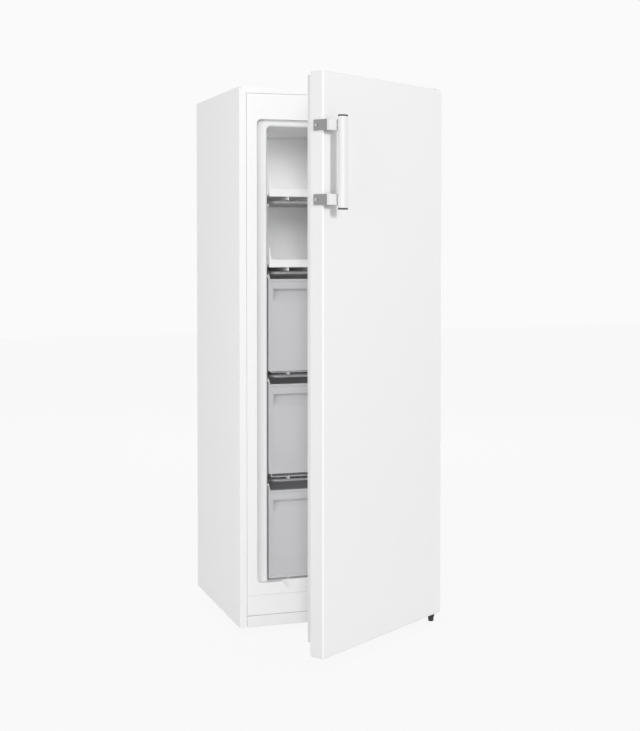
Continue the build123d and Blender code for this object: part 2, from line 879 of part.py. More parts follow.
def moulded_shelf(low, seat):
    """A white moulded shelf: a plate on ribs, and a clipped front with an ear at each end."""
    trim_y = front_y + trim_front
    behind = trim_y + trim_thick + board_joint
    with BuildPart() as shelf:
        with BuildSketch(facing(trim_y)):
            with Locations((0, low + trim_height / 2)):
                Rectangle(2 * board_half, trim_height)
            for side in (-1, 1):
                with BuildLine():
                    Polyline(
                        (side * board_half, low + trim_height),
                        (side * board_half, low + trim_height + ear_height),
                        (side * (board_half - ear_tip), low + trim_height + ear_height),
                        (side * (board_half - ear_foot), low + trim_height),
                        close=True,
                    )
                make_face()
        extrude(amount=-trim_thick)
        edges = shelf.edges().filter_by(Axis.X).group_by(Axis.Y)[0]
        fillet(edges, trim_round)
        plate = low + board_lift
        block(
            (-board_half, behind, plate),
            (board_half, room_back - board_rear, plate + board_thick),
        )
        for rib in range(board_ribs):
            x = (rib - (board_ribs - 1) / 2) * board_rib_wires * wire_pitch
            block(
                (x - board_rib / 2, behind, seat),
                (x + board_rib / 2, room_back - board_rear, plate),
            )
    return shelf


for number in (1, 2):
    seat = wire_levels[number - 1] + wire / 2
    save(moulded_shelf(board_lows[number - 1], seat), f"shelf_board_{number}")

# ---------------------------------------------------------------- drawers
drawer_seats = [wire_levels[2] + wire / 2, wire_levels[3] + wire / 2, step_bottom]
full_depth = room_depth - tub_rear
drawer_backs = [full_depth, full_depth, case_depth - hump_behind - hump_clear]
plate_y = front_y + drawer_front
tub_front_y = plate_y + drawer_plate


def drawer_face(top, bottom):
    """A drawer's front: a framed plate with a bead, two wings and a sloped grip across it."""
    middle = (top + bottom) / 2
    high = top - grip_top
    low = high - grip_height
    with BuildPart() as face:
        with BuildSketch(facing(plate_y)):
            with Locations((0, middle)):
                RectangleRounded(2 * drawer_half, top - bottom, drawer_corner)
            for side in (-1, 1):
                with BuildLine():
                    Polyline(
                        (side * drawer_half, top - 2 * drawer_corner),
                        (side * drawer_half, top + wing_height),
                        (side * (drawer_half - wing_tip), top + wing_height),
                        (side * (drawer_half - wing_foot), top - drawer_corner),
                        close=True,
                    )
                make_face()
        extrude(amount=-drawer_plate)
        # raised frame round the edge
        with BuildSketch(facing(plate_y)):
            with Locations((0, middle)):
                RectangleRounded(2 * drawer_half, top - bottom, drawer_corner)
                RectangleRounded(
                    2 * (drawer_half - frame_width),
                    top - bottom - 2 * frame_width,
                    frame_corner,
                    mode=Mode.SUBTRACT,
                )
        extrude(amount=frame_proud)
        # the bead along the top, and the lip over the grip
        with BuildSketch(beside(-drawer_half + drawer_corner)) as bead:
            with Locations((plate_y - bead_proud / 2, top - bead_height / 2)):
                Rectangle(bead_proud, bead_height)
            fillet(bead.vertices().group_by(Axis.X)[0], 2.2)
        extrude(amount=2 * (drawer_half - drawer_corner))
        block(
            (-grip_half, plate_y - lip_proud, high),
            (grip_half, plate_y, high + lip_height),
        )
        # the grip: a wall behind the plate, closed at both ends, then hollowed out
        with BuildSketch(beside(-grip_half)) as wall:
            with BuildLine():
                Polyline(
                    (plate_y + drawer_plate / 2, low),
                    (plate_y + grip_depth + tub_wall, high - grip_roof),
                    (plate_y + grip_depth + tub_wall, high),
                    (plate_y + drawer_plate / 2, high),
                    close=True,
                )
            make_face()
            fillet(wall.vertices().group_by(Axis.X)[-1], grip_round)
        extrude(amount=2 * grip_half)
        with BuildSketch(beside(-grip_half + tub_wall)) as hollow:
            with BuildLine():
                Polyline(
                    (plate_y - lip_proud, low + tub_wall),
                    (plate_y + grip_depth, high - grip_roof),
                    (plate_y + grip_depth, high - tub_wall),
                    (plate_y - lip_proud, high - tub_wall),
                    close=True,
                )
            make_face()
            fillet(hollow.vertices().group_by(Axis.X)[-1], grip_round - tub_wall)
        extrude(amount=2 * (grip_half - tub_wall), mode=Mode.SUBTRACT)
    return face


def drawer_tub(top, seat, back):
    """A drawer's tub behind its front: tapered walls, a rim, runners and a lowered back."""
    runner_low = seat + slide_gap
    tub_low = runner_low + runner_height
    rim_z = top - rim_drop
    length = front_y + back - tub_front_y + tub_ahead
    tub_y = front_y + back - length / 2
    height = rim_z - tub_low
    with BuildPart() as tub:
        with BuildSketch(level(rim_z)) as mouth:
            with Locations((0, tub_y)):
                Rectangle(2 * tub_half, length)
            fillet(mouth.vertices().group_by(Axis.Y)[-1], tub_corner)
        extrude(amount=-height, taper=tub_draft)
        with BuildSketch(level(rim_z - tub_rim)) as brim:
            with Locations((0, tub_y + rim_reach / 2)):
                Rectangle(2 * drawer_half, length + rim_reach)
            fillet(brim.vertices().group_by(Axis.Y)[-1], tub_corner + tub_inset)
        extrude(amount=tub_rim)
        with BuildSketch(level(rim_z)) as hollow:
            with Locations((0, tub_y - tub_ahead / 2)):
                Rectangle(2 * (tub_half - tub_wall), length - 2 * tub_wall + tub_ahead)
            fillet(hollow.vertices().group_by(Axis.Y)[-1], tub_corner - tub_wall)
        extrude(amount=-(height - tub_wall), taper=tub_draft, mode=Mode.SUBTRACT)
        for side in (-1, 1):
            x = side * (drawer_half - runner_inset)
            block(
                (x - runner_width / 2, tub_front_y, runner_low),
                (x + runner_width / 2, front_y + back - runner_rear, tub_low + tub_wall / 2),
            )
        # the back is lowered in the middle, as a handhold
        with BuildSketch(facing(front_y + back + tub_ahead)) as cut:
            with Locations((0, rim_z)):
                Rectangle(hand_width, 2 * hand_cut)
            fillet(cut.vertices().group_by(Axis.Y)[0], hand_cut - 2)
        extrude(amount=2 * (tub_ahead + tub_corner), mode=Mode.SUBTRACT)
        split(bisect_by=facing(tub_front_y), keep=Keep.BOTTOM)
    return tub


for number in range(3):
    face = drawer_face(drawer_tops[number], drawer_bottoms[number])
    save(face, f"drawer_front_{number + 1}")
    tub = drawer_tub(drawer_tops[number], drawer_seats[number], drawer_backs[number])
    save(tub, f"drawer_tub_{number + 1}")

# ---------------------------------------------------------------- thermostat
box_front = front_y + box_back
box_low = room_top - box_tall
knob_z = room_top - box_tall / 2
with BuildPart() as thermostat_housing:
    block(
        (box_x - box_width / 2, box_front, box_low),
        (box_x + box_width / 2, box_front + box_deep, room_top),
    )
    lower = thermostat_housing.edges().group_by(Axis.Z)[0]
    fillet(lower, 4)
    with BuildSketch(facing(box_front)):
        with Locations((box_x, knob_z)):
            Circle(spindle_radius + 0.5)
    extrude(amount=-18, mode=Mode.SUBTRACT)
save(thermostat_housing, "thermostat_housing")

with BuildPart() as thermostat_spindle:
    post(facing(box_front + 18), [(box_x, knob_z)], spindle_radius, 18 + knob_deep - 3)
save(thermostat_spindle, "thermostat_spindle")

with BuildPart() as thermostat_knob:
    post(facing(box_front - slide_gap), [(box_x, knob_z)], knob_radius, 3)
    post(facing(box_front - slide_gap - 3), [(box_x, knob_z)], knob_radius - 3, knob_deep - 3)
    with BuildSketch(facing(box_front - slide_gap - 3)):
        with Locations((box_x, knob_z)):
            Rectangle(5, 2 * knob_radius - 2)
    extrude(amount=knob_deep - 2)
    with BuildSketch(facing(box_front)):
        with Locations((box_x, knob_z)):
            Circle(spindle_radius + running)
    extrude(amount=knob_deep - 2.5, mode=Mode.SUBTRACT)
save(thermostat_knob, "thermostat_knob")

# ---------------------------------------------------------------- door
skin_back = door_back - liner_wall  # back of the skin's folded return

door_middle = (door_left + door_right) / 2


def door_plan(shrink):
    """The door's outline from above, about its pin, with its two front edges rounded."""
    with BuildSketch() as shape:
        with Locations((door_middle, (door_face + skin_back) / 2)):
            Rectangle(door_width - 2 * shrink, skin_back - door_face - 2 * shrink)
        fillet(shape.vertices().group_by(Axis.Y)[0], door_round - shrink)
    return shape.sketch


skin_low = door_bottom + cap_plate
skin_high = door_top - cap_plate
with BuildPart() as door_skin:
    with BuildSketch(door_level(skin_low)):
        add(door_plan(0.0))
        add(door_plan(sheet), mode=Mode.SUBTRACT)
        with Locations((door_middle, skin_back)):
            Rectangle(door_width - 2 * skin_return, 4 * sheet, mode=Mode.SUBTRACT)
    extrude(amount=skin_high - skin_low)
    # screw holes of the handle brackets
    handle_levels = [handle_middle - bracket_spacing / 2, handle_middle + bracket_spacing / 2]
    handle_spots = [(door_face + handle_screw_back, z) for z in handle_levels]
    post(door_beside(door_left), handle_spots, screw_radius + screw_play, sheet, Mode.SUBTRACT)
save(door_skin, "door_skin")


def door_cap(name, plate_low, block_low):
    """A moulded cap at one end of the door, with a block inside that holds the hinge bush."""
    with BuildPart() as cap:
        with BuildSketch(door_level(plate_low)):
            add(door_plan(0.0))
        extrude(amount=cap_plate)
        edge = cap.edges().group_by(Axis.Z)[-1 if block_low < plate_low else 0]
        fillet(edge, cap_round)
        with BuildSketch(door_level(block_low)):
            add(door_plan(sheet))
            with Locations((door_middle, (door_face + skin_back) / 2)):
                Rectangle(
                    door_width - 2 * cap_rib, skin_back - door_face - 2 * cap_rib, mode=Mode.SUBTRACT
                )
            with Locations((0, 0)):
                Circle(bush_radius + 3)
            add(door_plan(sheet), mode=Mode.INTERSECT)
        extrude(amount=cap_block)
        post(door_level(plate_low - cap_block), [(0, 0)], bush_radius, 3 * cap_block, Mode.SUBTRACT)
    save(cap, name)


door_cap("door_top_cap", skin_high, skin_high - cap_block)
door_cap("door_bottom_cap", door_bottom, skin_low)

bush_reach = cap_plate + cap_block
with BuildPart() as hinge_bushes:
    for low in (door_top - bush_reach, door_bottom):
        post(door_level(low), [(0, 0)], bush_radius, bush_reach)
        post(door_level(low), [(0, 0)], pin_radius + running, bush_reach, Mode.SUBTRACT)
save(hinge_bushes, "hinge_bushes")

plug_half = step_half - plug_margin
plug_low = step_bottom + plug_margin
plug_high = step_top - plug_margin


def plug_space(shrink):
    """The raised plug of the door's liner with its dished middle, shrunk by the wall."""
    middle = (plug_low + plug_high) / 2
    height = plug_high - plug_low
    with BuildPart() as plug:
        with BuildSketch(door_facing(door_back - shrink)):
            with Locations((-pin_x, middle)):
                RectangleRounded(2 * (plug_half - shrink), height - 2 * shrink, plug_corner - shrink)
        extrude(amount=-plug_proud, taper=plug_draft)
        reach = plug_band - shrink
        with BuildSketch(door_facing(door_back + plug_proud - shrink)):
            with Locations((-pin_x, middle)):
                RectangleRounded(2 * (plug_half - reach), height - 2 * reach, plug_corner)
        extrude(amount=plug_dish, taper=plug_draft, mode=Mode.SUBTRACT)
    return plug.part


liner_plate_half = door_width / 2 - liner_edge
with BuildPart() as door_liner:
    with BuildSketch(door_facing(skin_back)):
        with Locations((-pin_x, (door_top + door_bottom) / 2)):
            RectangleRounded(2 * liner_plate_half, door_top - door_bottom - 2 * liner_edge, 4)
    extrude(amount=-liner_wall)
    add(plug_space(0.0))
    add(plug_space(liner_wall), mode=Mode.SUBTRACT)
save(door_liner, "door_liner")

with BuildPart() as door_foam:
    with BuildSketch(door_level(skin_low)):
        add(door_plan(sheet))
    extrude(amount=skin_high - skin_low)
    door_block(
        (door_left + skin_return, skin_back - sheet, skin_low),
        (door_right - skin_return, skin_back, skin_high),
    )
    add(plug_space(liner_wall))
    for part in (door_skin, door_liner):
        add(part.part, mode=Mode.SUBTRACT)
    for low in (skin_low, skin_high - cap_block):
        with BuildSketch(door_level(low)):
            add(door_plan(0.0))
        extrude(amount=cap_block, mode=Mode.SUBTRACT)
    post(door_beside(door_left), handle_spots, screw_radius + screw_play, 20, Mode.SUBTRACT)
save(door_foam, "door_foam")

# ---------------------------------------------------------------- door seal
seal_half = door_width / 2 - seal_inset
seal_high = door_top - seal_inset
seal_depth = seal_gap - seal_clear
tip_depth = magnet_thick + 2 * seal_skin
waist_depth = seal_depth - seal_foot - tip_depth


def seal_band(y, outer, band, depth, mode=Mode.ADD):
    """One step of the seal's section, as a frame all round the door's back."""
    with BuildSketch(door_facing(y)) as ring:
        with Locations((-pin_x, (seal_high + seal_low) / 2)):
            Rectangle(2 * (seal_half - outer), seal_high - seal_low - 2 * outer)
            inner = outer + band
            Rectangle(
                2 * (seal_half - inner), seal_high - seal_low - 2 * inner, mode=Mode.SUBTRACT
            )
    extrude(ring.sketch, amount=-depth, mode=mode)


waist_inset = (seal_tip - seal_waist) / 2
magnet_inset = (seal_tip - magnet_width) / 2
magnet_y = door_back + seal_foot + waist_depth + seal_skin
with BuildPart() as door_seal:
    seal_band(door_back, 0.0, seal_base, seal_foot)
    for fold in range(seal_folds):
        pitch = waist_depth / seal_folds
        shift = waist_inset if fold % 2 == 0 else 0.0
        seal_band(door_back + seal_foot + fold * pitch, shift, seal_tip - 2 * shift, pitch)
    seal_band(magnet_y - seal_skin, 0.0, seal_tip, tip_depth)
    seal_band(magnet_y, magnet_inset, magnet_width, magnet_thick, Mode.SUBTRACT)
save(door_seal, "door_seal")

with BuildPart() as seal_magnets:
    seal_band(magnet_y, magnet_inset, magnet_width, magnet_thick)
save(seal_magnets, "seal_magnets")

# ---------------------------------------------------------------- hinges
plate_low = case_top + hinge_step
upper_plate_front = pin_y - front_y - hinge_nose
with BuildPart() as upper_hinge_plate:
    with BuildSketch(beside(pin_x + hinge_nose)):
        with BuildLine():
            Polyline(
                (front_y + upper_plate_front, plate_low),
                (front_y - 2, plate_low),
                (front_y + 4, case_top),
                (front_y + hinge_back, case_top),
                (front_y + hinge_back, case_top + hinge_plate),
                (front_y + 4 + hinge_plate / 2, case_top + hinge_plate),
                (front_y - 2 + hinge_plate / 2, plate_low + hinge_plate),
                (front_y + upper_plate_front, plate_low + hinge_plate),
                close=True,
            )
        make_face()
    extrude(amount=-hinge_width)
    corners = upper_hinge_plate.edges().filter_by(Axis.Z).group_by(Axis.Y)
    fillet(corners[0], hinge_nose - 1)
    fillet(corners[-1], 5)
    post(level(case_top), screw_spots, screw_radius + screw_play, 2 * hinge_plate, Mode.SUBTRACT)
save(upper_hinge_plate, "upper_hinge_plate")

with BuildPart() as upper_hinge_pin:
    pin_low = door_top - bush_reach + 2
    post(level(pin_low), [(pin_x, pin_y)], pin_radius, plate_low - pin_low)
    chamfer(upper_hinge_pin.edges().group_by(Axis.Z)[0], 1)
save(upper_hinge_pin, "upper_hinge_pin")


lower_top = case_bottom
lower_low = case_bottom - lower_plate
with BuildPart() as lower_hinge_plate:
    with BuildSketch(level(lower_low)) as plate_outline:
        with BuildLine():
            Polyline(
                (pin_x - hinge_nose, pin_y - hinge_nose),
                (pin_x + hinge_nose, pin_y - hinge_nose),
                (pin_x + hinge_nose, front_y + hinge_back),
                (rail_inner - rail_foot, front_y + hinge_back),
                (rail_inner - rail_foot, front_y + 12),
                (pin_x - hinge_nose, front_y + 2),
                close=True,
            )
        make_face()
        fillet(plate_outline.vertices().group_by(Axis.Y)[0], hinge_nose - 2)
    extrude(amount=lower_plate)
    spots = [(x, front_y + y) for x in hinge_holes_x for y in hinge_holes_y]
    post(level(lower_low), spots, screw_radius + screw_play, lower_plate, Mode.SUBTRACT)
    post(level(lower_low), [(pin_x, pin_y)], stud_radius + running, lower_plate, Mode.SUBTRACT)
save(lower_hinge_plate, "lower_hinge_plate")

with BuildPart() as lower_hinge_pin:
    collar = door_bottom - slide_gap - lower_top
    post(level(lower_top), [(pin_x, pin_y)], bush_radius + 1, collar)
    post(level(lower_top + collar), [(pin_x, pin_y)], pin_radius, bush_reach - 2)
    chamfer(lower_hinge_pin.edges().group_by(Axis.Z)[-1], 1)
save(lower_hinge_pin, "lower_hinge_pin")


def screws(places, seat, length, side):
    """Pan-head screws: their heads lie on the seat, on its upper (1) or its lower (-1) side."""
    post(level(seat), places, 2 * screw_radius, side * screw_head)
    post(level(seat), places, screw_radius, -side * length)


with BuildPart() as hinge_screws:
    screws(screw_spots, case_top + hinge_plate, upper_screw, 1)
    screws(spots, lower_low, lower_screw, -1)
    heads = hinge_screws.edges().filter_by(GeomType.CIRCLE)
    heads = heads.filter_by(lambda e: e.radius > screw_radius + 1)
    chamfer(heads.group_by(Axis.Z)[0] + heads.group_by(Axis.Z)[-1], screw_head / 3)
save(hinge_screws, "hinge_screws")

# ---------------------------------------------------------------- handle
strap_back = door_face + bracket_back
strap_front = door_face - bracket_proud
strap_left = door_left - bracket_leg


def handle_bracket(middle):
    """A bent metal strap that wraps the door's free edge and stands off its front."""
    with BuildPart() as strap:
        with BuildSketch(door_level(middle - bracket_height / 2)):
            with BuildLine():
                FilletPolyline(
                    (strap_left, strap_back),
                    (strap_left, strap_front),
                    (door_left + bracket_reach, strap_front),
                    radius=bracket_round,
                )
                Line(
                    (door_left + bracket_reach, strap_front),
                    (door_left + bracket_reach, strap_front + bracket_leg),
                )
                FilletPolyline(
                    (door_left + bracket_reach, strap_front + bracket_leg),
                    (door_left, strap_front + bracket_leg),
                    (door_left, strap_back),
                    radius=bracket_round - bracket_leg,
                )
                Line((door_left, strap_back), (strap_left, strap_back))
            make_face()
        extrude(amount=bracket_height)
        post(
            door_beside(strap_left),
            [(door_face + handle_screw_back, middle)],
            screw_radius + screw_play,
            bracket_leg,
            Mode.SUBTRACT,
        )
    return strap


save(handle_bracket(handle_levels[0]), "handle_bracket_lower")
save(handle_bracket(handle_levels[1]), "handle_bracket_upper")

bar_x = door_left + bar_from_edge
bar_y = door_face - bar_proud
bar_low = handle_middle - bar_length / 2
with BuildPart() as handle_bar:
    with BuildSketch(door_level(bar_low + bar_end)):
        with Locations((bar_x, bar_y)):
            RectangleRounded(bar_width, bar_thick, bar_round)
    extrude(amount=bar_length - 2 * bar_end)
    for middle in handle_levels:
        door_block(
            (bar_x - neck_width / 2, bar_y, middle - bracket_height / 2 + 3),
            (bar_x + neck_width / 2, strap_front, middle + bracket_height / 2 - 3),
        )
save(handle_bar, "handle_bar")

with BuildPart() as handle_ends:
    for low in (bar_low, bar_low + bar_length - bar_end):
        with BuildSketch(door_level(low)):
            with Locations((bar_x, bar_y)):
                RectangleRounded(bar_width, bar_thick, bar_round)
        extrude(amount=bar_end)
save(handle_ends, "handle_ends")

with BuildPart() as handle_screws:
    head = door_beside(strap_left)
    post(head, handle_spots, 2 * screw_radius, -2.2)
    post(head, handle_spots, screw_radius, 18)
save(handle_screws, "handle_screws")

# ---------------------------------------------------------------- feet and rollers
for name, place, top in (
    ("front_foot_left", (-rail_middle, front_y + left_foot_back), base_level - 1),
    ("front_foot_right", (pin_x, pin_y), lower_top - 1),
):
    with BuildPart() as foot:
        post(level(0), [place], foot_radius, foot_height)
        chamfer(foot.edges().group_by(Axis.Z)[0], 1.2)
        with BuildSketch(level(foot_height - 4)):
            with Locations(place):
                RegularPolygon(foot_radius + 1.5, 6)
        extrude(amount=4)
        post(level(foot_height), [place], stud_radius, top - foot_height)
    save(foot, name)

roller_half = rail_width / 2 - rail_sheet - slide_gap
for name, side in (("rear_roller_left", -1), ("rear_roller_right", 1)):
    middle = side * rail_middle
    with BuildPart() as roller:
        post(beside(middle - roller_half), [(roller_y, roller_radius)], roller_radius, 2 * roller_half)
        chamfer(roller.edges(), 1.5)
        bore = axle_radius + running
        post(beside(middle - rail_width), [(roller_y, roller_radius)], bore, 2 * rail_width, Mode.SUBTRACT)
    save(roller, name)

with BuildPart() as roller_axles:
    for side in (-1, 1):
        start = side * rail_middle - axle_length / 2
        post(beside(start), [(roller_y, roller_radius)], axle_radius, axle_length)
save(roller_axles, "roller_axles")
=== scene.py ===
import json
import math

import bpy
import bmesh
from mathutils import Matrix, Vector

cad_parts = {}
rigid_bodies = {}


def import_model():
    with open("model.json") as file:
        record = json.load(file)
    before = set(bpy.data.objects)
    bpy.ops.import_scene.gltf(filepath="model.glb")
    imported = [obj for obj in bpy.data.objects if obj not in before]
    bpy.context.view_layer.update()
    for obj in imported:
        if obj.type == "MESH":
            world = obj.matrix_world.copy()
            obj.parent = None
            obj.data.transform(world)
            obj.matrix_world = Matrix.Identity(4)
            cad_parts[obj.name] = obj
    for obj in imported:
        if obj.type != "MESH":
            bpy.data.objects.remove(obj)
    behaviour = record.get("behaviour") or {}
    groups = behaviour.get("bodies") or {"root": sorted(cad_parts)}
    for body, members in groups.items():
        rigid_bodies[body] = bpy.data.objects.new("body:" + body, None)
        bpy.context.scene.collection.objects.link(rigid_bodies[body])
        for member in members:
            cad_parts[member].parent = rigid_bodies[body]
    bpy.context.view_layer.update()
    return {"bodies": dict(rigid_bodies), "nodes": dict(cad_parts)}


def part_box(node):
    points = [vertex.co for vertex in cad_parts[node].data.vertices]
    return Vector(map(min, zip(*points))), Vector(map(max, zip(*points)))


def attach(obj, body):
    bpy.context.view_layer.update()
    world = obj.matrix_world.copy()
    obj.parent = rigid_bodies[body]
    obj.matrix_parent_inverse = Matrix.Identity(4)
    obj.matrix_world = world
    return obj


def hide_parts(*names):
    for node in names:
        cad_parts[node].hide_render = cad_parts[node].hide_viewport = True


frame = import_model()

scene = bpy.context.scene

# ------------------------------------------------------------------ studio
# A pale floor that runs into a pale backdrop, soft boxes and a camera on the photograph's spot.
# The lens looks a little down and is shifted, so that upright edges stay upright.
looks_down = 1.724
looks_right = 18.38
camera_data = bpy.data.cameras.new("studio_camera")
camera_data.sensor_width = 36.0
camera_data.lens = 67.63
camera_data.shift_y = -0.11
camera_data.clip_end = 60.0
camera = bpy.data.objects.new("studio_camera", camera_data)
scene.collection.objects.link(camera)
camera.location = (-1.2202, -3.5846, 1.0461)
camera.rotation_euler = (math.radians(90.0 - looks_down), 0.0, math.radians(-looks_right))
scene.camera = camera
scene.view_settings.view_transform = "Standard"


def soft_box(name, place, aim, width, height, watts, group=None, spread=180.0):
    """A rectangular lamp at a place, turned towards the point it lights. It isn't seen itself.
    With a group it lights those pieces only, and a small spread, in degrees, narrows its beam."""
    light = bpy.data.lights.new(name, "AREA")
    light.shape = "RECTANGLE"
    light.size = width
    light.size_y = height
    light.energy = watts
    light.spread = math.radians(spread)
    lamp = bpy.data.objects.new(name, light)
    lamp.visible_camera = False
    lamp.visible_glossy = False
    lamp.visible_transmission = False
    scene.collection.objects.link(lamp)
    lamp.location = place
    lamp.rotation_euler = (Vector(aim) - Vector(place)).to_track_quat("-Z", "Y").to_euler()
    if group:
        lamp.light_linking.receiver_collection = group


# The photograph's door and the inside of its case are lit unlike each other, so each has lamps
# of its own. Two narrow ones stand in the mouth of the case, one for each open compartment.
door_side = bpy.data.collections.new("lit_with_the_door")
case_side = bpy.data.collections.new("lit_with_the_case")
soft_box("key_box", (2.68, -8.00, 4.30), (0.0, -0.35, 0.70), 1.9, 1.9, 375.0, door_side)
soft_box("left_box", (-2.7, -2.5, 1.1), (-0.2, -0.1, 0.7), 1.6, 2.0, 35.0)
soft_box("case_box", (-2.09, -5.92, 2.70), (-0.12, 0.0, 0.60), 1.4, 1.8, 172.0, case_side)
room_lamps = (("upper_room_box", 1.290, 1.21, 0.105), ("lower_room_box", 1.090, 1.02, 0.075))
for name, height, aim_height, watts in room_lamps:
    place = (-0.06, -0.015, height)
    soft_box(name, place, (-0.10, 0.33, aim_height), 0.24, 0.05, watts, case_side, 70.0)
soft_box("right_box", (4.2, 1.0, 1.6), (0.2, 0.2, 0.8), 1.8, 2.0, 34.0, case_side)
soft_box("rear_box", (1.2, 3.6, 2.4), (0.0, 0.2, 0.7), 2.6, 2.6, 26.0)

world = bpy.data.worlds.new("studio_air")
scene.world = world
world.use_nodes = True
air = world.node_tree
air.nodes.clear()
air_out = air.nodes.new("ShaderNodeOutputWorld")
air_mix = air.nodes.new("ShaderNodeMixShader")
air_fill = air.nodes.new("ShaderNodeBackground")
air_fill.inputs["Color"].default_value = (1.0, 1.0, 1.0, 1.0)
air_fill.inputs["Strength"].default_value = 0.57
air_seen = air.nodes.new("ShaderNodeBackground")
air_seen.inputs["Color"].default_value = (0.956, 0.956, 0.956, 1.0)
air_seen.inputs["Strength"].default_value = 1.0


def direct_view(tree):
    """A factor that is 1 for rays that see a surface straight, in gloss or through glass."""
    path = tree.nodes.new("ShaderNodeLightPath")
    most = None
    for ray in ("Is Camera Ray", "Is Glossy Ray", "Is Transmission Ray"):
        if most is None:
            most = path.outputs[ray]
            continue
        pick = tree.nodes.new("ShaderNodeMath")
        pick.operation = "MAXIMUM"
        tree.links.new(most, pick.inputs[0])
        tree.links.new(path.outputs[ray], pick.inputs[1])
        most = pick.outputs[0]
    return most


air.links.new(direct_view(air), air_mix.inputs[0])
air.links.new(air_fill.outputs[0], air_mix.inputs[1])
air.links.new(air_seen.outputs[0], air_mix.inputs[2])
air.links.new(air_mix.outputs[0], air_out.inputs[0])

bpy.ops.object.select_all(action="DESELECT")
bpy.ops.mesh.primitive_plane_add(size=24.0, location=(0.0, 0.0, 0.0))
floor = bpy.context.object
floor.name = "studio_floor"
floor_paint = bpy.data.materials.new("studio_floor_paint")
floor_paint.use_nodes = True
tree = floor_paint.node_tree
tree.nodes.clear()
floor_out = tree.nodes.new("ShaderNodeOutputMaterial")
floor_mix = tree.nodes.new("ShaderNodeMixShader")
floor_bounce = tree.nodes.new("ShaderNodeBsdfDiffuse")
floor_bounce.inputs["Color"].default_value = (0.78, 0.78, 0.78, 1.0)
floor_sum = tree.nodes.new("ShaderNodeAddShader")
floor_shade = tree.nodes.new("ShaderNodeBsdfDiffuse")
floor_shade.inputs["Color"].default_value = (0.05, 0.05, 0.05, 1.0)
floor_seen = tree.nodes.new("ShaderNodeEmission")
floor_seen.inputs["Color"].default_value = (0.912, 0.912, 0.912, 1.0)
tree.links.new(floor_shade.outputs[0], floor_sum.inputs[0])
tree.links.new(floor_seen.outputs[0], floor_sum.inputs[1])
tree.links.new(direct_view(tree), floor_mix.inputs[0])
tree.links.new(floor_bounce.outputs[0], floor_mix.inputs[1])
tree.links.new(floor_sum.outputs[0], floor_mix.inputs[2])
tree.links.new(floor_mix.outputs[0], floor_out.inputs[0])
floor.data.materials.append(floor_paint)

# ------------------------------------------------------------------ case wrap
# The outer wrap is one sheet of pre-painted steel, folded to an inverted U with a flange round
# its front. Its coat is a baked satin enamel with a faint orange peel.


def finish(name, colour, roughness, grain, depth, spread=0.03, metallic=0.0, stretch=(1, 1, 1)):
    """A finish with a fine grain: its colour and its roughness drift a little and its surface
    has a shallow relief. Grain is in waves per metre and depth in metres."""
    material = bpy.data.materials.new(name)
    material.use_nodes = True
    nodes = material.node_tree.nodes
    links = material.node_tree.links
    shader = nodes["Principled BSDF"]
    shader.inputs["Metallic"].default_value = metallic
    place = nodes.new("ShaderNodeTexCoord")
    turn = nodes.new("ShaderNodeMapping")
    turn.inputs["Scale"].default_value = stretch
    links.new(place.outputs["Object"], turn.inputs["Vector"])
    fine = nodes.new("ShaderNodeTexNoise")
    fine.inputs["Scale"].default_value = grain
    fine.inputs["Detail"].default_value = 3.0
    links.new(turn.outputs["Vector"], fine.inputs["Vector"])
    broad = nodes.new("ShaderNodeTexNoise")
    broad.inputs["Scale"].default_value = 6.0
    broad.inputs["Detail"].default_value = 2.0
    links.new(place.outputs["Object"], broad.inputs["Vector"])
    tone = nodes.new("ShaderNodeMix")
    tone.data_type = "RGBA"
    tone.inputs[6].default_value = [c * (1.0 - spread) for c in colour] + [1.0]
    tone.inputs[7].default_value = [min(c * (1.0 + spread), 1.0) for c in colour] + [1.0]
    links.new(broad.outputs["Fac"], tone.inputs[0])
    links.new(tone.outputs[2], shader.inputs["Base Color"])
    gloss = nodes.new("ShaderNodeMapRange")
    gloss.inputs["To Min"].default_value = roughness * 0.85
    gloss.inputs["To Max"].default_value = min(roughness * 1.15, 1.0)
    links.new(fine.outputs["Fac"], gloss.inputs["Value"])
    links.new(gloss.outputs["Result"], shader.inputs["Roughness"])
    relief = nodes.new("ShaderNodeBump")
    relief.inputs["Strength"].default_value = 0.6
    relief.inputs["Distance"].default_value = depth
    links.new(fine.outputs["Fac"], relief.inputs["Height"])
    links.new(relief.outputs["Normal"], shader.inputs["Normal"])
    return material


def dress(material, *nodes):
    """Gives CAD nodes a finish."""
    for name in nodes:
        piece = frame["nodes"][name]
        piece.data.materials.clear()
        piece.data.materials.append(material)
        lit = door_side if piece.parent == frame["bodies"]["door"] else case_side
        lit.objects.link(piece)


def settle(piece, material, body, slot, *nodes):
    """Gives a finished piece its material and its body, and says which solids it stands for."""
    piece.data.materials.clear()
    piece.data.materials.append(material)
    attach(piece, body)
    lit = door_side if body == "door" else case_side
    lit.objects.link(piece)
    if nodes:
        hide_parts(*nodes)
    return piece


def alone(piece):
    """Selects one piece and nothing else."""
    bpy.ops.object.select_all(action="DESELECT")
    piece.select_set(True)
    bpy.context.view_layer.objects.active = piece


def smoothed(piece, angle=35.0):
    """Smooth shading across its soft edges, with flat faces kept even."""
    alone(piece)
    bpy.ops.object.shade_smooth_by_angle(angle=math.radians(angle))
    even = piece.modifiers.new("even", "WEIGHTED_NORMAL")
    even.keep_sharp = True
    bpy.ops.object.modifier_apply(modifier=even.name)
    return piece


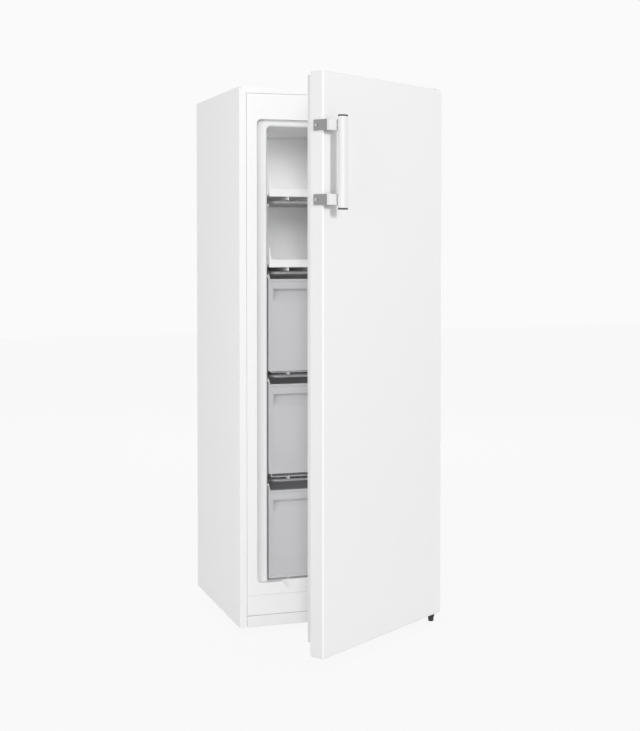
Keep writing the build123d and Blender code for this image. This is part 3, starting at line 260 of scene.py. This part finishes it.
def rounded(node, material, body, slot, angle=35.0, edge=0.0):
    """A merged, smooth copy of a CAD node that stands for it, with its sharp edges broken where
    an edge radius is given."""
    mesh = frame["nodes"][node].data.copy()
    piece = bpy.data.objects.new(node + "_dressed", mesh)
    scene.collection.objects.link(piece)
    alone(piece)
    bpy.ops.mesh.customdata_custom_splitnormals_clear()
    bpy.ops.object.mode_set(mode="EDIT")
    bpy.ops.mesh.select_all(action="SELECT")
    bpy.ops.mesh.remove_doubles(threshold=1e-6)
    if edge:
        bpy.ops.mesh.dissolve_limited(angle_limit=math.radians(1.0))
    bpy.ops.object.mode_set(mode="OBJECT")
    if edge:
        soft = piece.modifiers.new("soft", "BEVEL")
        soft.width = edge
        soft.segments = 2
        soft.limit_method = "ANGLE"
        soft.angle_limit = math.radians(50.0)
        bpy.ops.object.modifier_apply(modifier=soft.name)
    smoothed(piece, angle)
    return settle(piece, material, body, slot, node)


enamel = finish("case_enamel", (0.872, 0.873, 0.873), 0.36, 700.0, 0.00002, 0.004)
wrap = rounded("case_wrap", enamel, "cabinet", "case_white_paint")
case_low, case_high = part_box("case_wrap")
# A fine mitre seam runs across each upper corner of the flange, where the folds meet. It is
# three cuts close together, with the middle one pushed in.
seam_half = 0.0009
seam_depth = 0.0022
seam_reach = 0.040
front_skin = 0.0005


def pick_front(piece):
    """Selects the faces on the flange's front."""
    shape = bmesh.from_edit_mesh(piece.data)
    for face in shape.faces:
        depth = face.calc_center_median().y - case_low.y
        face.select = face.normal.y < -0.99 and depth < front_skin
    bmesh.update_edit_mesh(piece.data)


for side in (-1, 1):
    corner = Vector((side * case_high.x, case_low.y, case_high.z))
    across = Vector((1.0, 0.0, -side)).normalized()
    alone(wrap)
    bpy.ops.object.mode_set(mode="EDIT")
    bpy.ops.mesh.select_mode(type="FACE")
    bpy.ops.mesh.select_all(action="DESELECT")
    pick_front(wrap)
    for shift in (-seam_half, 0.0, seam_half):
        bpy.ops.mesh.bisect(plane_co=corner + across * shift, plane_no=across)
        pick_front(wrap)
    shape = bmesh.from_edit_mesh(wrap.data)
    for point in shape.verts:
        off = point.co - corner
        if abs(off.dot(across)) < 1e-5 and abs(off.y) < 0.0004 and off.length < seam_reach:
            point.co.y += seam_depth
    bmesh.update_edit_mesh(wrap.data)
    bpy.ops.object.mode_set(mode="OBJECT")
bpy.ops.mesh.customdata_custom_splitnormals_clear()
smoothed(wrap)

# ------------------------------------------------------------------ back panel
# A zinc-coated sheet with three pressed beads closes the back. Pan-head screws hold it to the
# rear flange of the wrap.
zinc = finish("zinc_sheet", (0.60, 0.62, 0.63), 0.38, 120.0, 0.00002, 0.08, 0.9)
rounded("back_panel", zinc, "cabinet", "zinc_sheet")
steel = finish("screw_steel", (0.55, 0.55, 0.55), 0.3, 300.0, 0.00002, 0.05, 1.0)


def screw_head(name, place, outward, radius, height):
    """A domed screw head with a cross recess, seated at a place and facing outward."""
    bpy.ops.object.select_all(action="DESELECT")
    bpy.ops.mesh.primitive_cylinder_add(vertices=24, radius=radius, depth=height)
    head = bpy.context.object
    head.name = name
    bpy.ops.object.mode_set(mode="EDIT")
    bpy.ops.mesh.select_mode(type="FACE")
    bpy.ops.mesh.select_all(action="DESELECT")
    shape = bmesh.from_edit_mesh(head.data)
    for face in shape.faces:
        face.select = face.normal.z > 0.9
    bmesh.update_edit_mesh(head.data)
    bpy.ops.mesh.bevel(offset=height * 0.6, segments=3, affect="EDGES")
    bpy.ops.object.mode_set(mode="OBJECT")
    for turn in (0.0, 90.0):
        bpy.ops.object.select_all(action="DESELECT")
        bpy.ops.mesh.primitive_cube_add(size=1.0, location=(0.0, 0.0, height / 2))
        blade = bpy.context.object
        blade.scale = (radius * 1.1, radius * 0.24, height * 0.7)
        blade.rotation_euler = (0.0, 0.0, math.radians(turn))
        alone(head)
        recess = head.modifiers.new("recess", "BOOLEAN")
        recess.operation = "DIFFERENCE"
        recess.object = blade
        bpy.ops.object.modifier_apply(modifier=recess.name)
        bpy.data.objects.remove(blade)
    aim = Vector(outward).to_track_quat("Z", "Y").to_matrix().to_4x4()
    seat = Vector(place) + Vector(outward).normalized() * height / 2
    head.data.transform(Matrix.Translation(seat) @ aim)
    return smoothed(head, 40.0)


screw_inset = 0.008
for row, height in enumerate((0.36, 0.62, 0.88, 1.14, 1.40)):
    for side in (-1, 1):
        spot = (side * (case_high.x - screw_inset), case_high.y, height)
        screw = screw_head(f"back_screw_{row}_{side + 1}", spot, (0, 1, 0), 0.0038, 0.0018)
        settle(screw, steel, "cabinet", "steel")

# ------------------------------------------------------------------ floor sheet and base rails
# Folded, zinc-coated sheets carry the case: the floor sheet with its step over the machine
# compartment, two hat-section rails with ears for the roller axles, and the compressor's tray.
dress(zinc, "base_plate", "roller_axles")
for node in ("base_rail_left", "base_rail_right", "compressor_tray"):
    rounded(node, zinc, "cabinet", "zinc_sheet")

# ------------------------------------------------------------------ insulation
# Polyurethane foam is poured between the case and the liner, and inside the door.
foam = finish("poured_foam", (0.80, 0.72, 0.45), 0.9, 260.0, 0.0006, 0.08)
dress(foam, "cabinet_foam", "door_foam")

# ------------------------------------------------------------------ inner liner
# The liner is vacuum-formed from one sheet of glossy white plastic: the recess for the door's
# plug, the rounded mouth, the ledges of the shelves and the drain scoop are all drawn in it.
liner_plastic = finish("liner_plastic", (0.876, 0.877, 0.878), 0.26, 300.0, 0.00003, 0.004)
rounded("inner_liner", liner_plastic, "cabinet", "liner_white", 40.0)

# ------------------------------------------------------------------ front rail and plinth
# A painted steel channel closes the front under the threshold. The plinth is a moulded board
# with a thin seam above it.
rounded("front_rail", enamel, "cabinet", "case_white_paint", 35.0, 0.0004)
trim_plastic = finish("trim_plastic", (0.85, 0.851, 0.85), 0.42, 500.0, 0.00003, 0.004)
rounded("plinth", trim_plastic, "cabinet", "trim_white", 35.0, 0.0006)

# ------------------------------------------------------------------ compressor
# Two deep-drawn steel cups are welded together over a mounting plate and painted black. Rubber
# mounts carry the plate, and a moulded cover hides the terminals.
black_paint = finish("black_paint", (0.03, 0.03, 0.032), 0.33, 500.0, 0.00003, 0.1)
rounded("compressor", black_paint, "cabinet", "black_paint", 40.0)
mount_rubber = finish("mount_rubber", (0.03, 0.03, 0.03), 0.8, 400.0, 0.0001, 0.1)
rounded("compressor_grommets", mount_rubber, "cabinet", "rubber_black", 40.0)
black_plastic = finish("black_plastic", (0.035, 0.035, 0.036), 0.5, 600.0, 0.00005, 0.1)
rounded("terminal_cover", black_plastic, "cabinet", "black_plastic", 40.0)

# ------------------------------------------------------------------ refrigerant pipes
# Copper pipes leave the shell's brazed stubs: the suction pipe goes up into the insulation and
# the discharge pipe to the condenser. The drier is a spun copper tube with a capillary.
copper = finish("copper_pipe", (0.70, 0.36, 0.22), 0.3, 90.0, 0.00002, 0.12, 1.0)


def pipe(name, corners, radius, bend, sides=12, steps=5):
    """A round tube, drawn as a ring that is pushed along each run and spun round each bend."""
    corners = [Vector(corner) for corner in corners]
    way = (corners[1] - corners[0]).normalized()
    bpy.ops.object.select_all(action="DESELECT")
    bpy.ops.mesh.primitive_circle_add(vertices=sides, radius=radius)
    tube = bpy.context.object
    tube.name = name
    aim = way.to_track_quat("Z", "Y").to_matrix().to_4x4()
    tube.data.transform(Matrix.Translation(corners[0]) @ aim)
    bpy.ops.object.mode_set(mode="EDIT")
    bpy.ops.mesh.select_all(action="SELECT")
    place = corners[0]
    for corner, after in zip(corners[1:], corners[2:] + [None]):
        reach = corner - place
        if after is None:
            bpy.ops.mesh.extrude_edges_move(TRANSFORM_OT_translate={"value": reach})
            break
        onward = (after - corner).normalized()
        angle = way.angle(onward)
        trim = bend * math.tan(angle / 2)
        run = reach - way * trim
        if run.length > 1e-6:
            bpy.ops.mesh.extrude_edges_move(TRANSFORM_OT_translate={"value": run})
        axis = way.cross(onward).normalized()
        centre = corner - way * trim + axis.cross(way) * bend
        bpy.ops.mesh.spin(steps=steps, angle=-angle, center=centre, axis=axis)
        place = corner + onward * trim
        way = onward
    bpy.ops.mesh.select_all(action="SELECT")
    bpy.ops.mesh.remove_doubles(threshold=1e-6)
    bpy.ops.mesh.fill_holes(sides=sides)
    bpy.ops.mesh.normals_make_consistent(inside=False)
    bpy.ops.object.mode_set(mode="OBJECT")
    return smoothed(tube, 40.0)


suction_radius = 0.004
suction_rise = 0.020
suction_low, suction_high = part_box("suction_pipe")
shell_y = (suction_low.y + suction_high.y) / 2
suction_x = suction_low.x + suction_radius
suction_end = suction_high.x - suction_radius
suction_run = suction_low.z + suction_rise
suction = pipe(
    "suction_pipe_round",
    [
        (suction_x, shell_y, suction_low.z),
        (suction_x, shell_y, suction_run),
        (suction_end, shell_y, suction_run),
        (suction_end, shell_y, suction_high.z),
    ],
    suction_radius,
    0.016,
)
settle(suction, copper, "cabinet", "copper", "suction_pipe")

discharge_radius = 0.003
condenser_radius = 0.0025
shell_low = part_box("compressor")[0]
condenser_low, condenser_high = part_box("condenser_tube")
condenser_y = (condenser_low.y + condenser_high.y) / 2
discharge_low, discharge_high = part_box("discharge_pipe")
discharge_x = discharge_low.x + discharge_radius
discharge_z = discharge_low.z + discharge_radius
condenser_z = condenser_low.z + condenser_radius
discharge = pipe(
    "discharge_pipe_round",
    [
        (shell_low.x, shell_y, discharge_z),
        (discharge_x, shell_y, discharge_z),
        (discharge_x, condenser_y, discharge_z),
        (discharge_x, condenser_y, condenser_z),
        (discharge_high.x, condenser_y, condenser_z),
    ],
    discharge_radius,
    0.012,
)
settle(discharge, copper, "cabinet", "copper", "discharge_pipe")
rounded("filter_drier", copper, "cabinet", "copper")

# ------------------------------------------------------------------ condenser
# One steel tube runs to and fro up the back. Wires are welded across it on both sides, clips
# stand it off the panel, and the whole is painted black.
tube_rows = 11
outlet_x = condenser_high.x - condenser_radius
inlet_x = discharge_high.x
row_rise = (condenser_high.z - condenser_low.z - 2 * condenser_radius) / (tube_rows - 1)
route = []
for row in range(tube_rows):
    height = condenser_z + row * row_rise
    ends = (inlet_x, -inlet_x) if row % 2 == 0 else (-inlet_x, inlet_x)
    route += [(x, condenser_y, height) for x in ends]
route[-1] = (outlet_x, condenser_y, route[-1][2])
route.append((outlet_x, condenser_y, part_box("filter_drier")[1].z))
condenser = pipe("condenser_tube_round", route, condenser_radius, row_rise * 0.45, 10)
settle(condenser, black_paint, "cabinet", "black_paint", "condenser_tube")
dress(black_paint, "condenser_wires")
rounded("condenser_brackets", black_plastic, "cabinet", "black_plastic", 35.0, 0.0005)

# ------------------------------------------------------------------ evaporator shelves
# Each shelf is a steel tube bent to and fro, with straps under it and wires across it, in a
# satin grey coat. The tube leaves through the back wall, and clips hold the last run.
shelf_coat = finish("shelf_coat", (0.50, 0.50, 0.51), 0.35, 500.0, 0.00004, 0.02, 0.5)
rows = 6
bend = 0.016
feed_x = -0.060
liner_wall = 0.002
behind_rows = 0.052
first_low, first_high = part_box("evaporator_tube_1")
tube_radius = (first_high.z - first_low.z) / 2
row_front = first_low.y + tube_radius
row_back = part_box("inner_liner")[1].y - liner_wall - behind_rows
row_pitch = (row_back - row_front) / (rows - 1)
shelf_x = first_high.x - tube_radius
return_x = first_low.x + tube_radius
for number in (1, 2, 3, 4):
    low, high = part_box(f"evaporator_tube_{number}")
    height = (low.z + high.z) / 2
    route = [(feed_x, high.y, height), (feed_x, row_back, height)]
    side = 1
    for row in reversed(range(rows)):
        y = row_front + row * row_pitch
        if row != rows - 1:
            route.append((-side * shelf_x, y, height))
        if row != 0:
            route.append((side * shelf_x, y, height))
        side = -side
    route += [(return_x, row_front, height), (return_x, high.y, height)]
    tube = pipe(f"evaporator_round_{number}", route, tube_radius, bend)
    settle(tube, shelf_coat, "cabinet", "tube_coating", f"evaporator_tube_{number}")
dress(shelf_coat, "evaporator_wires")
rounded("evaporator_straps", shelf_coat, "cabinet", "tube_coating", 35.0, 0.0004)
clip_plastic = finish("clip_plastic", (0.10, 0.10, 0.105), 0.45, 500.0, 0.00004, 0.05)
rounded("evaporator_clips", clip_plastic, "cabinet", "black_plastic", 35.0)

# ------------------------------------------------------------------ moulded shelves
# The two open shelves are white mouldings: a front with an ear at each end and a thin plate
# behind, standing with its ribs on the wires.
for number in (1, 2):
    rounded(f"shelf_board_{number}", trim_plastic, "cabinet", "trim_white", 35.0, 0.0005)

# ------------------------------------------------------------------ thermostat
# A white housing hangs under the ceiling, with a grooved knob on a steel spindle.
rounded("thermostat_housing", trim_plastic, "cabinet", "trim_white", 35.0, 0.0008)
rounded("thermostat_knob", trim_plastic, "knob", "trim_white", 40.0, 0.0006)
dress(steel, "thermostat_spindle")

# ------------------------------------------------------------------ drawers
# Tubs and fronts are injection-moulded from clear plastic and snapped together.
clear_plastic = finish("clear_plastic", (0.905, 0.905, 0.925), 0.16, 220.0, 0.00003, 0.004)
clear_shader = clear_plastic.node_tree.nodes["Principled BSDF"]
clear_shader.inputs["Alpha"].default_value = 0.42
clear_shader.inputs["IOR"].default_value = 1.45
for number in (1, 2, 3):
    body = f"drawer_{number}"
    rounded(f"drawer_front_{number}", clear_plastic, body, "drawer_plastic", 35.0, 0.0004)
    rounded(f"drawer_tub_{number}", clear_plastic, body, "drawer_plastic", 35.0)

# ------------------------------------------------------------------ door
# The outer panel is one folded sheet of the same enamelled steel. A moulded cap closes each
# end, with a bush for the hinge pin in it, and the formed liner closes the back.
rounded("door_skin", enamel, "door", "case_white_paint")
rounded("door_top_cap", trim_plastic, "door", "trim_white")
rounded("door_bottom_cap", trim_plastic, "door", "trim_white")
dress(trim_plastic, "hinge_bushes")
rounded("door_liner", liner_plastic, "door", "liner_white", 40.0)

# ------------------------------------------------------------------ door seal
# A folded vinyl gasket with a magnet in its lip sits in the rim of the door's liner.
seal_vinyl = finish("seal_vinyl", (0.90, 0.90, 0.895), 0.55, 500.0, 0.00004, 0.01)
rounded("door_seal", seal_vinyl, "door", "seal_white", 35.0, 0.0004)
dress(mount_rubber, "seal_magnets")

# ------------------------------------------------------------------ hinges
# Pressed steel plates carry turned pins. They are painted, and pan-head screws hold them to
# the case's top and to the right base rail.
rounded("upper_hinge_plate", black_paint, "cabinet", "black_paint", 35.0, 0.0004)
rounded("lower_hinge_plate", black_paint, "cabinet", "black_paint", 35.0, 0.0004)
rounded("upper_hinge_pin", steel, "cabinet", "steel")
rounded("lower_hinge_pin", steel, "cabinet", "steel")
rounded("hinge_screws", steel, "cabinet", "steel")

# ------------------------------------------------------------------ handle
# Two bent straps of brushed aluminium wrap the door's free edge, each held by a screw. A white
# moulded bar with dark end caps stands on them, with a white foot on each strap.
brushed = finish("brushed_strap", (0.34, 0.34, 0.345), 0.26, 60.0, 0.00002, 0.03, 1.0, (1, 1, 30))
bar_plastic = finish("bar_plastic", (0.80, 0.80, 0.802), 0.22, 300.0, 0.00002, 0.005)
door_angle = 35.1
foot_size = (0.035, 0.0105, 0.0270)
foot_from_pin = (-0.5235, -0.0434)
pin_low, pin_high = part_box("lower_hinge_pin")
pin = (pin_low + pin_high) / 2
door_turn = Matrix.Rotation(math.radians(door_angle), 4, "Z")
door_place = Matrix.Translation((pin.x, pin.y, 0.0)) @ door_turn
for end in ("upper", "lower"):
    rounded(f"handle_bracket_{end}", brushed, "door", "handle_metal", 35.0, 0.0003)
    bracket_low, bracket_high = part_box(f"handle_bracket_{end}")
    foot_height = (bracket_low.z + bracket_high.z) / 2
    bpy.ops.object.select_all(action="DESELECT")
    bpy.ops.mesh.primitive_cube_add(size=1.0)
    foot = bpy.context.object
    foot.name = f"handle_foot_{end}"
    foot.data.transform(Matrix.Diagonal((*foot_size, 1.0)))
    foot.data.transform(Matrix.Translation((*foot_from_pin, foot_height)))
    bpy.ops.object.mode_set(mode="EDIT")
    bpy.ops.mesh.select_mode(type="FACE")
    bpy.ops.mesh.select_all(action="DESELECT")
    shape = bmesh.from_edit_mesh(foot.data)
    for face in shape.faces:
        face.select = face.normal.y < -0.9
    bmesh.update_edit_mesh(foot.data)
    bpy.ops.mesh.inset(thickness=0.0022)
    bpy.ops.transform.translate(value=(0.0, -0.0006, 0.0))
    bpy.ops.mesh.select_all(action="SELECT")
    bpy.ops.mesh.bevel(offset=0.0007, segments=2, affect="EDGES", clamp_overlap=True)
    bpy.ops.object.mode_set(mode="OBJECT")
    foot.data.transform(door_place)
    settle(smoothed(foot), bar_plastic, "door", "handle_white")
rounded("handle_screws", steel, "door", "steel")
rounded("handle_bar", bar_plastic, "door", "handle_white")
cap_plastic = finish("cap_plastic", (0.06, 0.06, 0.062), 0.35, 500.0, 0.00003, 0.05)
rounded("handle_ends", cap_plastic, "door", "black_plastic", 35.0)

# ------------------------------------------------------------------ feet and rollers
# Moulded black feet stand under the front, and black rollers turn on axles at the back.
for node, body in (
    ("front_foot_left", "foot_left"),
    ("front_foot_right", "foot_right"),
    ("rear_roller_left", "roller_left"),
    ("rear_roller_right", "roller_right"),
):
    rounded(node, black_plastic, body, "black_plastic")
